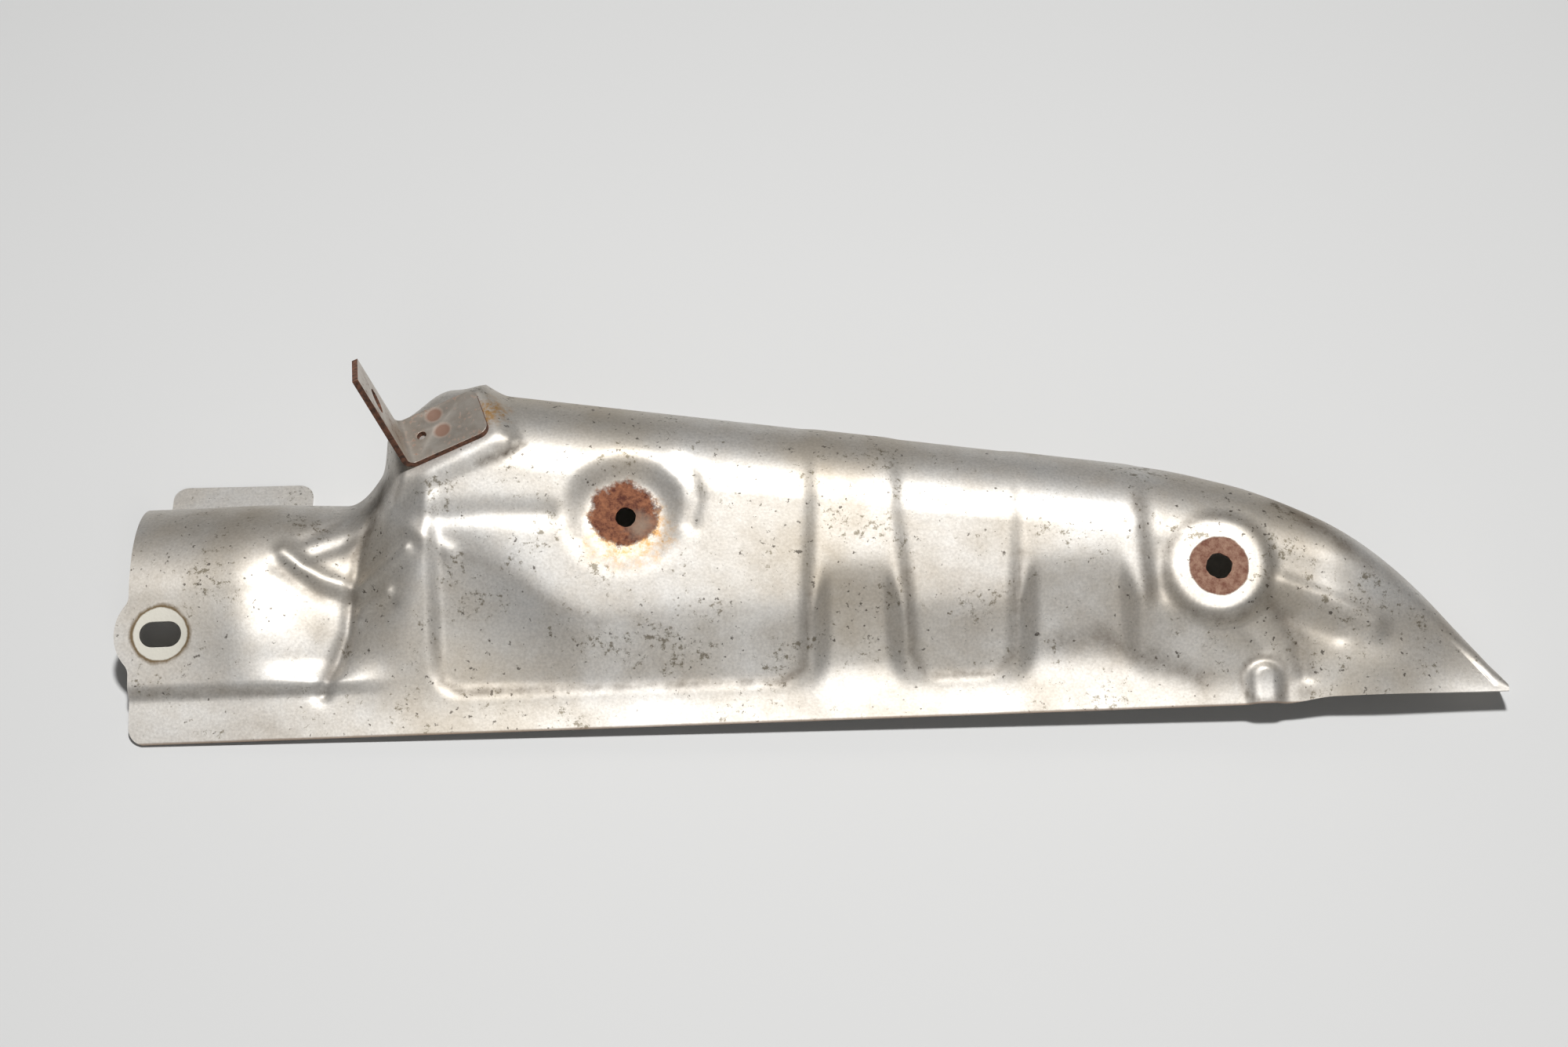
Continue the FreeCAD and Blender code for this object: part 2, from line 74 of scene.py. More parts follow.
TIP_CROWN_RADIUS = 8.0
FACE_LEFT = 0.2
VALLEY_OFFSET = 5.0
VALLEY_SLANT = 0.22
VALLEY_FLANK = 24.0
VALLEY_DEPTH = 1.4
VALLEY_WIDTH = 7.0
VALLEY_RUN_IN = 10.0
DOME = Vector((42.0, 36.0))
DOME_HEIGHT = 2.2
DOME_WIDTH = 17.0
NOSE_DENT = Vector((404.0, 10.0))
NOSE_DENT_HEIGHT = 2.0
NOSE_DENT_WIDTH = 10.0
NOSE_DENT_STRETCH = 2.0
RIB_TOP = 46.0
RIB_FLANK = 8.0
RIB_FOOT = 19.0
RIBS = ((221.0, 253.0), (288.0, 329.0))
FIRST_PANEL_LEFT = 99.0
RECESS = 2.4
RECESS_AT_CROWN = 0.5
RECESS_AT_FOOT = 0.5
RECESS_RUN = 25.0
PANEL_CORNER = 9.0
PANEL_EDGE = 6.5
PANEL_EDGE_INSIDE = 0.6
PANEL_SPLAY = 0.08
THIRD_PANEL_DROP = 6.0
THIRD_PANEL_RUN = 10.0
NOTCH_X = 374.0
NOTCH_LENGTH = 16.0
NOTCH_DEPTH = 1.7
BOSS_X = 367.7
BOSS_LENGTH = 8.0
BOSS_RADIUS = 6.6
BOSS_HEIGHT = 2.2
BOSS_FLAT = 0.45
FIRST_HOLE = Vector((162.8, 67.4, 10.8))
SECOND_HOLE = Vector((354.0, 43.5, 12.5))
SLOT = Vector((10.5, 35.6))
FIRST_PAD = 11.0
SECOND_PAD = 14.0
FIRST_BLEND = 12.0
SECOND_BLEND = 6.0
LEAN = radians(22.0)
ROLL = radians(1.2)
TAPER = (BODY_DEPTH - NOSE_DEPTH) / (NOSE_START - BODY_START)

# Seat of the bracket on the crown: its middle, and its turn, rise and tilt against the press frame
SEAT = Vector((103.1, 98.8, 11.3))
SEAT_YAW = radians(21.3)
SEAT_RISE = radians(-5.5)
SEAT_TILT = radians(-25.0)
SEAT_TURN = (
    Matrix.Rotation(SEAT_YAW, 4, "Z")
    @ Matrix.Rotation(SEAT_RISE, 4, "Y")
    @ Matrix.Rotation(SEAT_TILT, 4, "X")
)
PLATE_LENGTH = 30.0
STRIP_WIDTH = 20.0
SEAT_BLEND = 10.0


def ease(share):
    """Rises smoothly from 0 to 1 as share does."""
    share = min(max(share, 0.0), 1.0)
    return share * share * (3.0 - 2.0 * share)


def ramp(share, rounding=0.16):
    """A straight rise from 0 to 1 with rounded ends, as a pressed wall has."""
    return 0.5 * (1.0 + hypot(share, rounding) - hypot(share - 1.0, rounding))


def along(x, *stations):
    """A value that eases from one (place, value) station to the next."""
    for (x0, value0), (x1, value1) in zip(stations, stations[1:]):
        if x < x1:
            return value0 + (value1 - value0) * ease((x - x0) / (x1 - x0))
    return stations[-1][1]


def nose_line(x):
    """Plan of the nose: an arc that leaves the taper without a kink and ends on the tip."""
    run = LENGTH - NOSE_START
    drop = NOSE_DEPTH - TIP_DEPTH
    scale = hypot(1.0, TAPER)
    radius = (run**2 + drop**2) * scale / (2.0 * (drop - run * TAPER))
    across = x - NOSE_START + radius * TAPER / scale
    return NOSE_DEPTH - radius / scale + sqrt(max(radius**2 - across**2, 0.0))


def crown_depth(x):
    """Depth of the rear wall behind the front edge."""
    body = nose_line(x) if x > NOSE_START else BODY_DEPTH - TAPER * (x - BODY_START)
    return LEFT_DEPTH + (body - LEFT_DEPTH) * ease((x - SHOULDER_START) / (BODY_START - SHOULDER_START))


def ribness(x):
    """1 on the crest of a rib between two panels, 0 inside a panel."""
    return sum(ease(min(x - left, right - x) / RIB_FLANK) for left, right in RIBS)


def panel_share(x, depth):
    """How far a place lies inside a recessed panel, from 0 outside to 1 on its floor."""
    splay = PANEL_SPLAY * (depth - WALL_TOP)
    share = 0.0
    panels = ((FIRST_PANEL_LEFT, RIBS[0][0] + splay), (RIBS[0][1] - splay, RIBS[1][0] + splay))
    for left, right in panels:
        across = max(left - x, x - right) + PANEL_CORNER
        below = FLANGE - depth + PANEL_CORNER
        outside = hypot(max(across, 0.0), max(below, 0.0)) + min(max(across, below), 0.0) - PANEL_CORNER
        share = max(share, 1.0 - ease(outside / PANEL_EDGE + PANEL_EDGE_INSIDE))
    third = ease((x - RIBS[1][1] + splay) / PANEL_EDGE)
    third *= ease((depth - WALL_TOP + THIRD_PANEL_DROP) / THIRD_PANEL_RUN)
    return max(share, third * (1.0 - ease((x - SECOND_HOLE.x) / SECOND_PAD)))


def body_face(x, depth, crown_start):
    """Flange, front wall and gently rising upper face of the main body."""
    foot = FLANGE + (RIB_FOOT - FLANGE) * ribness(x)
    foot = along(
        x,
        (RIBS[1][1], foot),
        (SECOND_HOLE.x, NOSE_FLANGE),
        (NOTCH_X, NOSE_FLANGE),
        (LENGTH, TIP_FLANGE),
    )
    shelf = along(x, (FIRST_PANEL_LEFT, SHELF_DEPTH), (FIRST_HOLE.x - FIRST_PAD, WALL_TOP))
    top = shelf + (RIB_TOP - shelf) * ribness(x)
    top = along(x, (NOTCH_X, top), (LENGTH, WALL_TOP / 2.0))
    height = along(
        x,
        (RIBS[1][1], UPPER_HEIGHT),
        (NOTCH_X + NOTCH_LENGTH, NOSE_HEIGHT),
        (LENGTH, TIP_HEIGHT),
    )
    rise = height + UPPER_SLOPE * (depth - WALL_TOP)
    up_face = min(max((depth - WALL_TOP) / (crown_start - WALL_TOP), 0.0), 1.0)
    fade = 1.0 - (1.0 - RECESS_AT_CROWN) * up_face
    bottom = RECESS_AT_FOOT + (1.0 - RECESS_AT_FOOT) * ease((depth - FLANGE) / RECESS_RUN)
    return rise * ramp((depth - foot) / (top - foot)) - RECESS * panel_share(x, depth) * fade * bottom


def left_face(x, depth):
    """Stepped flange, sloping face and low dome of the left section, which falls away into the valley."""
    up_face = depth - STEP_DEPTH
    step = STEP_HEIGHT * ramp(up_face / STEP_RUN)
    dome = DOME_HEIGHT * exp(-(((x - DOME.x) / DOME_WIDTH) ** 2) - ((depth - DOME.y) / DOME_WIDTH) ** 2)
    fall = STEP_HEIGHT * ease(2.0 * x / SHOULDER_START - 1.0) * ease(up_face / LEFT_FALL_RUN)
    return step + LEFT_SLOPE * max(up_face - STEP_RUN, 0.0) + dome - fall


def off_line(x, depth, points):
    """Distance in plan from a place to a line of straight runs."""
    nearest = inf
    for (x0, depth0), (x1, depth1) in zip(points, points[1:]):
        run_x = x1 - x0
        run_depth = depth1 - depth0
        share = ((x - x0) * run_x + (depth - depth0) * run_depth) / (run_x**2 + run_depth**2)
        share = min(max(share, 0.0), 1.0)
        nearest = min(nearest, hypot(x - x0 - share * run_x, depth - depth0 - share * run_depth))
    return nearest


# Wrinkles left by handling and by the draw: line in plan, height and half width
VALLEY = ((62.9, 14.7), (66.6, 23.0), (70.9, 35.0), (72.4, 47.7), (75.0, 63.0), (80.0, 80.0))
WRINKLES = (
    (VALLEY, -1.5, 2.4),
    (((50.0, 62.5), (56.0, 57.0), (63.0, 52.5), (71.3, 49.5)), 1.5, 2.8),
    (((48.0, 57.0), (58.0, 49.5), (70.0, 44.5)), -0.9, 3.0),
    (((58.4, 61.1), (67.0, 64.5), (78.8, 70.9)), -0.9, 2.6),
    (((55.8, 66.5), (66.0, 74.0)), -0.7, 2.4),
    (((184.0, 64.0), (186.0, 72.0), (184.5, 80.0), (180.0, 85.0)), -0.9, 2.4),
    (((74.5, 48.8), (90.6, 59.4)), 1.8, 2.5),
    (((75.5, 41.6), (84.3, 46.5)), 1.1, 2.0),
    (((76.0, 38.5), (86.0, 42.5)), -0.8, 1.8),
    (((84.7, 71.0), (97.0, 62.5), (105.0, 58.0)), 0.9, 2.6),
    (((97.0, 69.5), (118.0, 70.0), (138.0, 69.0)), -0.9, 3.5),
    (((374.0, 38.0), (390.0, 31.0), (404.0, 24.0)), 1.8, 3.6),
    (((376.0, 28.0), (392.0, 21.0)), -0.8, 3.0),
    (((373.0, 31.0), (379.0, 20.0), (381.0, 9.0)), -0.9, 2.6),
    (((360.0, 26.0), (368.0, 18.0)), -0.6, 2.4),
)


def face_height(x, depth, crown_start):
    """Height of the face before wrinkles and flats: both sections, the valley between them and the boss."""
    valley = SHOULDER_START - VALLEY_OFFSET + VALLEY_SLANT * depth
    flank = ease((x - valley) / VALLEY_FLANK)
    height = left_face(x, depth) * (1.0 - flank) + body_face(x, depth, crown_start) * flank
    fold = exp(-(((x - valley) / VALLEY_WIDTH) ** 2))
    height -= VALLEY_DEPTH * fold * ease((depth - STEP_DEPTH) / VALLEY_RUN_IN)
    boss = hypot(x - BOSS_X, max(depth - BOSS_LENGTH, 0.0))
    height += BOSS_HEIGHT * (1.0 - ease((boss / BOSS_RADIUS - BOSS_FLAT) / (1.0 - BOSS_FLAT)))
    return height


def wrinkled(x, depth):
    """Height that the dented nose and the wrinkles add at a place."""
    away = hypot((x - NOSE_DENT.x) / NOSE_DENT_STRETCH, depth - NOSE_DENT.y) / NOSE_DENT_WIDTH
    height = NOSE_DENT_HEIGHT * exp(-away * away)
    for points, rise, width in WRINKLES:
        away = off_line(x, depth, points) / width
        height += rise * exp(-away * away)
    return height


def seat_level(x, depth):
    """Height of the bracket seat, a plane, over a place."""
    normal = SEAT_TURN @ Vector((0, 0, 1))
    return SEAT.z - (normal.x * (x - SEAT.x) + normal.y * (depth - SEAT.y)) / normal.z


def flattened(x, depth, height):
    """Height once the bolt pads and the bracket seat are pressed flat."""
    pads = ((FIRST_HOLE, FIRST_PAD, FIRST_BLEND), (SECOND_HOLE, SECOND_PAD, SECOND_BLEND))
    for pad, radius, blend in pads:
        share = 1.0 - ease((hypot(x - pad.x, depth - pad.y) - radius) / blend)
        height += (pad.z - height) * share
    level = seat_level(x, depth)
    place = SEAT_TURN.inverted() @ (Vector((x, depth, level)) - SEAT)
    over = max(abs(place.x) - PLATE_LENGTH / 2.0, abs(place.y) - STRIP_WIDTH / 2.0)
    return height + (level - height) * (1.0 - ease(over / SEAT_BLEND))


def foot_height(x, depth):
    """Press height at which the outer face of the rear wall meets the table."""
    level = GAUGE * (sin(LEAN) - cos(LEAN))
    return ((level - x * sin(ROLL)) / cos(ROLL) - depth * sin(LEAN)) / cos(LEAN)


# Shares of the rows of the mesh at which the face ends, on each section, and the roll-over ends
LEFT_FACE_SHARE = 0.46
BODY_FACE_SHARE = 0.74
ROLL_SHARE = 0.93


def skin_place(x, share):
    """Place on the outer face, for a share of the way from the front edge to the foot of the rear wall."""
    slope = atan(along(x, (SHOULDER_START, LEFT_SLOPE), (BODY_START, UPPER_SLOPE)))
    edge = NOTCH_DEPTH * ease((x - NOTCH_X) / NOTCH_LENGTH)
    crown = crown_depth(x)
    radius = along(
        x,
        (SHOULDER_START, LEFT_CROWN_RADIUS),
        (BODY_START, BODY_CROWN_RADIUS),
        (NOSE_START, NOSE_CROWN_RADIUS),
        (LENGTH, TIP_CROWN_RADIUS),
    )
    radius = min(radius, (crown - edge) / (1.0 + FACE_LEFT + sin(slope)))
    crown_start = crown - radius * (1.0 + sin(slope))
    face_share = along(x, (SHOULDER_START, LEFT_FACE_SHARE), (BODY_START, BODY_FACE_SHARE))
    if share < face_share:
        depth = edge + (crown_start - edge) * share / face_share
        height = face_height(x, depth, crown_start) + wrinkled(x, depth)
        return Vector((x, depth, flattened(x, depth, height)))
    top = face_height(x, crown_start, crown_start)
    angle = -slope + (pi / 2.0 + slope) * min((share - face_share) / (ROLL_SHARE - face_share), 1.0)
    depth = crown_start + radius * (sin(angle) + sin(slope))
    height = flattened(x, depth, top + radius * (cos(angle) - cos(slope)) + wrinkled(x, depth))
    wall = max((share - ROLL_SHARE) / (1.0 - ROLL_SHARE), 0.0)
    return Vector((x, depth, height + (foot_height(x, depth) - height) * wall))


def new_piece(name, shape):
    """Object at the origin that holds a finished bmesh."""
    mesh = bpy.data.meshes.new(name)
    shape.to_mesh(mesh)
    shape.free()
    piece = bpy.data.objects.new(name, mesh)
    bpy.context.scene.collection.objects.link(piece)
    return piece


def settle(piece):
    """Replaces a piece's mesh by what its modifiers make of it."""
    evaluated = piece.evaluated_get(bpy.context.evaluated_depsgraph_get())
    mesh = bpy.data.meshes.new_from_object(evaluated)
    piece.modifiers.clear()
    piece.data = mesh


def combine(piece, tool, operation):
    """Cuts a tool out of a piece or joins it on, and removes the tool."""
    boolean = piece.modifiers.new("shape", "BOOLEAN")
    boolean.object = tool
    boolean.operation = operation
    boolean.solver = "MANIFOLD"
    settle(piece)
    bpy.data.objects.remove(tool)


# The columns of the mesh stand closer together over the wrinkled valley
COLUMNS = ((0.0, -8.0), (0.09, 40.0), (0.37, 110.0), (1.0, LENGTH))
COLUMN_COUNT = 340
ROW_COUNT = 124


def column_place(share):
    """Place along the shield of a share of the columns."""
    for (share0, x0), (share1, x1) in zip(COLUMNS, COLUMNS[1:]):
        if share <= share1:
            return x0 + (x1 - x0) * (share - share0) / (share1 - share0)
    return LENGTH


shape = bmesh.new()
bmesh.ops.create_grid(shape, x_segments=COLUMN_COUNT, y_segments=ROW_COUNT, size=0.5)
for vertex in shape.verts:
    vertex.co = skin_place(column_place(vertex.co.x + 0.5), vertex.co.y + 0.5) * MM
skin = new_piece("skin", shape)
thickness = skin.modifiers.new("gauge", "SOLIDIFY")
thickness.thickness = GAUGE * MM
thickness.offset = -1.0
thickness.use_even_offset = True
settle(skin)

STROKE = 150.0


def arc(centre, radius, start, end, steps):
    """Places along an arc in plan."""
    angles = [start + (end - start) * step / steps for step in range(steps + 1)]
    return [(centre[0] + radius * cos(angle), centre[1] + radius * sin(angle)) for angle in angles]


def punch(shape, outline):
    """Adds a prism along the press stroke to a tool."""
    corners = [shape.verts.new((x * MM, depth * MM, -STROKE * MM)) for x, depth in outline]
    base = shape.faces.new(corners)
    pulled = bmesh.ops.extrude_face_region(shape, geom=[base])
    lifted = [item for item in pulled["geom"] if isinstance(item, bmesh.types.BMVert)]
    bmesh.ops.translate(shape, verts=lifted, vec=(0, 0, 2.0 * STROKE * MM))


EAR_RADIUS = 15.2
EAR_BLEND = 5.0
CORNER_RADIUS = 6.0
EDGE_BITE = 0.2
CORNER_STEPS = 10
BLEND_STEPS = 8
EAR_STEPS = 24
SLOT_STEPS = 14
HOLE_STEPS = 40
SLOT_LENGTH = 13.7
SLOT_WIDTH = 8.5
FIRST_HOLE_RADIUS = 3.3
SECOND_HOLE_RADIUS = 4.2
FIRST_HOLE_EATEN = 0.1
SECOND_HOLE_EATEN = 0.22

blend_reach = sqrt((EAR_RADIUS + EAR_BLEND) ** 2 - (SLOT.x + EAR_BLEND) ** 2)
blend_angle = atan(blend_reach / (SLOT.x + EAR_BLEND))
waste = -2.0 * EAR_RADIUS
trim = [(waste, waste), (CORNER_RADIUS, waste)]
trim += arc((CORNER_RADIUS, CORNER_RADIUS - EDGE_BITE), CORNER_RADIUS, 1.5 * pi, pi, CORNER_STEPS)
trim += arc((-EAR_BLEND, SLOT.y - blend_reach), EAR_BLEND, 0.0, blend_angle, BLEND_STEPS)
trim += arc(SLOT, EAR_RADIUS, pi + blend_angle, pi - blend_angle, EAR_STEPS)
trim += arc((-EAR_BLEND, SLOT.y + blend_reach), EAR_BLEND, -blend_angle, 0.0, BLEND_STEPS)
trim += [(0.0, BODY_DEPTH), (waste, BODY_DEPTH)]

slot_end = (SLOT_LENGTH - SLOT_WIDTH) / 2.0
slot_outline = arc((SLOT.x + slot_end, SLOT.y), SLOT_WIDTH / 2.0, -pi / 2.0, pi / 2.0, SLOT_STEPS)
slot_outline += arc((SLOT.x - slot_end, SLOT.y), SLOT_WIDTH / 2.0, pi / 2.0, 1.5 * pi, SLOT_STEPS)


# Waves round the edge of a rusted hole: share of the depth eaten, count and start
RUST_WAVES = ((0.6, 4.0, 0.6), (0.4, 10.0, 0.0))


def eaten_hole(centre, radius, depth):
    """Hole whose edge rust has eaten unevenly."""
    outline = []
    for step in range(HOLE_STEPS):
        angle = 2.0 * pi * step / HOLE_STEPS
        eaten = sum(share * sin(count * angle + start) for share, count, start in RUST_WAVES)
        reach = radius + depth * eaten
        outline.append((centre.x + reach * cos(angle), centre.y + reach * sin(angle)))
    return outline


cutter = bmesh.new()
punch(cutter, trim)
punch(cutter, slot_outline)
punch(cutter, eaten_hole(FIRST_HOLE, FIRST_HOLE_RADIUS, FIRST_HOLE_EATEN))
punch(cutter, eaten_hole(SECOND_HOLE, SECOND_HOLE_RADIUS, SECOND_HOLE_EATEN))
bmesh.ops.recalc_face_normals(cutter, faces=cutter.faces)
combine(skin, new_piece("trim_and_pierce", cutter), "DIFFERENCE")

# The rest pose turns the press frame back and up, and the first bolt hole is where the frame has it.
turn = Matrix.Rotation(-ROLL, 4, "Y") @ Matrix.Rotation(LEAN, 4, "X")
hole_places = {mount["name"]: Vector(mount["pos_m"]) for mount in frame["record"]["mounts"]}
mid_sheet = FIRST_HOLE - Vector((0.0, 0.0, GAUGE / 2.0))
shift = hole_places["first_bolt_hole"] - turn @ (mid_sheet * MM)
rest = Matrix.Translation(shift) @ turn
skin.data.transform(rest)

TAB_START = 4.0
TAB_LENGTH = 48.0
TAB_WIDTH = 12.5
TAB_CORNER = 5.0
TAB_BITE = 0.75 * GAUGE
CORNER_SEGMENTS = 8
shape = bmesh.new()
bmesh.ops.create_cube(shape, size=1.0)
bmesh.ops.scale(shape, vec=(TAB_LENGTH * MM, TAB_WIDTH * MM, GAUGE * MM), verts=shape.verts)
outer_corners = [
    edge
    for edge in shape.edges
    if all(vertex.co.y > 0 for vertex in edge.verts) and abs(edge.verts[0].co.z - edge.verts[1].co.z) > 0
]
bmesh.ops.bevel(
    shape,
    geom=outer_corners,
    offset=TAB_CORNER * MM,
    segments=CORNER_SEGMENTS,
    profile=0.5,
    affect="EDGES",
    material=-1,
)
tab_foot = rest @ (Vector((TAB_START, LEFT_DEPTH, foot_height(TAB_START, LEFT_DEPTH))) * MM)
tab_middle = Vector((TAB_LENGTH / 2.0, TAB_WIDTH / 2.0 - TAB_BITE, 0.0)) * MM
tab_place = tab_foot + tab_middle
tab_place.z = shift.z - GAUGE * MM * (cos(LEAN) - 0.5)
bmesh.ops.translate(shape, verts=shape.verts, vec=tab_place)
combine(skin, new_piece("rear_tab", shape), "UNION")

# Grime and painted shade gather as dark lines in the valley and along the pressed steps: line in plan, half
# width and strength
GRIME_AND_SHADE_LINES = (
    (VALLEY, 2.4, 0.55),
    (((74.0, 60.0), (78.0, 72.0), (83.0, 84.0)), 3.5, 0.75),
    (((55.8, 66.5), (66.0, 74.0)), 1.8, 0.5),
    (((48.0, 57.0), (58.0, 49.5), (70.0, 44.5)), 2.0, 0.5),
    (((2.0, 16.5), (40.0, 15.8), (58.0, 15.0), (63.0, 18.0)), 1.6, 0.4),
    (((100.0, 30.0), (102.0, 17.0), (108.0, 13.5), (212.0, 13.5), (219.0, 17.0), (222.0, 40.0)), 1.8, 0.5),
    (((253.0, 45.0), (254.0, 20.0), (259.0, 13.5), (281.0, 13.5), (287.0, 19.0), (290.0, 50.0)), 1.8, 0.55),
    (((329.0, 66.0), (331.0, 35.0)), 2.6, 0.5),
    (((301.0, 22.0), (314.0, 25.0), (327.0, 18.0), (347.0, 9.0)), 4.0, 0.5),
    (((370.0, 33.0), (379.0, 20.0), (381.0, 4.0)), 4.0, 0.55),
    (((110.0, 56.6), (122.7, 50.9), (137.7, 39.9), (152.6, 33.0)), 2.0, 0.35),
    (((376.0, 66.0), (392.0, 54.0), (402.0, 44.0)), 3.0, 0.7),
    (((116.0, 86.5), (123.0, 88.5), (130.0, 92.0)), 1.0, 0.9),
    (((0.0, 3.0), (60.0, 3.0)), 7.0, 0.22),
    (((0.0, 52.0), (14.0, 60.0)), 9.0, 0.2),
    (((20.0, 74.0), (60.0, 70.0)), 9.0, 0.25),
)
# Rings of grime and painted shade round the pads and the boss: centre, radius, half width and strength
SPOT_GRIME_AND_SHADE = (
    (SECOND_HOLE, SECOND_PAD + 3.0, 2.0, 0.5),
    (Vector((BOSS_X, BOSS_LENGTH, 0.0)), BOSS_RADIUS + 0.8, 1.2, 0.6),
    (FIRST_HOLE, FIRST_PAD + 5.0, 3.0, 0.3),
)


def grime_and_shade_at(place):
    """How much grime and painted shade a place in the press frame holds, from 0 to 1."""
    x, depth = place.xy
    most = 0.0
    for points, width, strength in GRIME_AND_SHADE_LINES:
        away = off_line(x, depth, points) / width
        most = max(most, strength * exp(-away * away))
    for centre, radius, width, strength in SPOT_GRIME_AND_SHADE:
        away = (hypot(x - centre.x, depth - centre.y) - radius) / width
        most = max(most, strength * exp(-away * away))
    return most


to_press = Matrix.Scale(1.0 / MM, 4) @ rest.inverted()
# Grime and painted shade along the folds and steps, held on each vertex
grime_and_shade = skin.data.attributes.new("grime_and_shade", "FLOAT", "POINT")
for vertex in skin.data.vertices:
    grime_and_shade.data[vertex.index].value = grime_and_shade_at(to_press @ vertex.co)
SMOOTH_ANGLE = radians(40.0)
skin.data.shade_smooth()
skin.data.set_sharp_from_angle(angle=SMOOTH_ANGLE)


def linear(code):
    """Linear colour of an sRGB hex code."""
    channels = [int(code[place : place + 2], 16) / 255.0 for place in (0, 2, 4)]
    return [c / 12.92 if c <= 0.04045 else ((c + 0.055) / 1.055) ** 2.4 for c in channels] + [1.0]


def add(tree, kind, sockets, output=None, **settings):
    """Adds a node with its settings and links, and gives back the named output, or the first in use."""
    made = tree.nodes.new(kind)
    for name, value in settings.items():
        setattr(made, name, value)
    for name, value in sockets.items():
        if isinstance(name, int):
            socket = made.inputs[name]
        else:
            socket = next(item for item in made.inputs if item.enabled and item.name == name)
        if isinstance(value, bpy.types.NodeSocket):
            tree.links.new(value, socket)
        else:
            socket.default_value = value
    return next((item for item in made.outputs if item.enabled and output in (None, item.name)), None)


def new_material(name):
    """Material with an empty node tree, and that tree."""
    material = bpy.data.materials.new(name)
    material.use_nodes = True
    material.node_tree.nodes.clear()
    return material, material.node_tree


# Aluminised steel, rolled and then pressed: a satin metal whose oxide film scatters part of the light.
# It shows bright patches where it faces the light, olive stains in clusters, dark specks, grime and
# painted shade in its folds, a pale washer print at the slot and brown rust where bolt heads have rubbed
# the coating off.
aluminised_steel, tree = new_material("aluminised_steel")
object_place = add(tree, "ShaderNodeTexCoord", {}, output="Object")
press = add(
    tree,
    "ShaderNodeMapping",
    {
        "Vector": object_place,
        "Location": to_press.translation,
        "Rotation": to_press.to_euler(),
        "Scale": (1.0 / MM, 1.0 / MM, 1.0 / MM),
    },
)
held_grime_and_shade = add(tree, "ShaderNodeAttribute", {}, output="Fac", attribute_name="grime_and_shade")

# Patterns by their size in mm, with how fine and how rough they are
PATTERNS = {
    "grain": (0.9, 2.0, 0.5),
    "speck": (2.2, 3.0, 0.6),
    "fleck": (2.4, 6.0, 0.75),
    "ragged": (9.0, 7.0, 0.72),
    "cluster": (17.0, 3.0, 0.55),
    "mottle": (26.0, 6.0, 0.62),
    "cloud": (70.0, 3.0, 0.5),
}
pattern = {
    name: add(
        tree,
        "ShaderNodeTexNoise",
        {"Vector": press, "Scale": 1.0 / size, "Detail": detail, "Roughness": roughness},
    )
    for name, (size, detail, roughness) in PATTERNS.items()
}


def graded(value, start, end, low, high):
    """Sockets of a map from the range start to end onto low to high."""
    return {"Value": value, "From Min": start, "From Max": end, "To Min": low, "To Max": high}


def spot(centre, reach, edge, raggedness):
    """1 within a ragged spot of the press frame, falling to 0 over its edge."""
    away = add(tree, "ShaderNodeVectorMath", {0: press, 1: centre}, output="Value", operation="DISTANCE")
    wander = add(tree, "ShaderNodeMapRange", graded(pattern["ragged"], 0.3, 0.7, -raggedness, raggedness))
    away = add(tree, "ShaderNodeMath", {0: away, 1: wander}, operation="ADD")
    return add(tree, "ShaderNodeMapRange", graded(away, reach, reach + edge, 1.0, 0.0))


# Clean metal, from a cool pale tone to a warm darker one, with a faint sparkle
tone = add(tree, "ShaderNodeMapRange", graded(pattern["mottle"], 0.35, 0.65, 0.0, 1.0))
colour = add(
    tree,
    "ShaderNodeMix",
    {"Factor": tone, "A": linear("E2DFDA"), "B": linear("CBC4BA")},
    data_type="RGBA",
)
sparkle = add(tree, "ShaderNodeMapRange", graded(pattern["grain"], 0.3, 0.7, 0.88, 1.08))
colour = add(
    tree,
    "ShaderNodeMix",
    {"Factor": 1.0, "A": colour, "B": sparkle},
    data_type="RGBA",
    blend_type="MULTIPLY",
)

# Stains: flecks that gather in clusters, single specks, and a brown film in some clouds
gathered = add(tree, "ShaderNodeMapRange", graded(pattern["cluster"], 0.45, 0.66, -0.05, 0.08))
fleck_level = add(tree, "ShaderNodeMath", {0: pattern["fleck"], 1: gathered}, operation="ADD")
flecks = add(tree, "ShaderNodeMapRange", graded(fleck_level, 0.6, 0.67, 0.0, 0.75))
scattered = add(tree, "ShaderNodeMapRange", graded(pattern["cloud"], 0.4, 0.62, 0.0, 0.05))
speck_level = add(tree, "ShaderNodeMath", {0: pattern["speck"], 1: scattered}, operation="ADD")
specks = add(tree, "ShaderNodeMapRange", graded(speck_level, 0.68, 0.73, 0.0, 0.8))
film = add(tree, "ShaderNodeMapRange", graded(pattern["cloud"], 0.42, 0.7, 0.0, 0.5))

# Grime and painted shade in the folds, broken up
broken = add(tree, "ShaderNodeMapRange", graded(pattern["ragged"], 0.3, 0.62, 0.2, 1.0))
folds = add(tree, "ShaderNodeMath", {0: held_grime_and_shade, 1: broken}, operation="MULTIPLY")

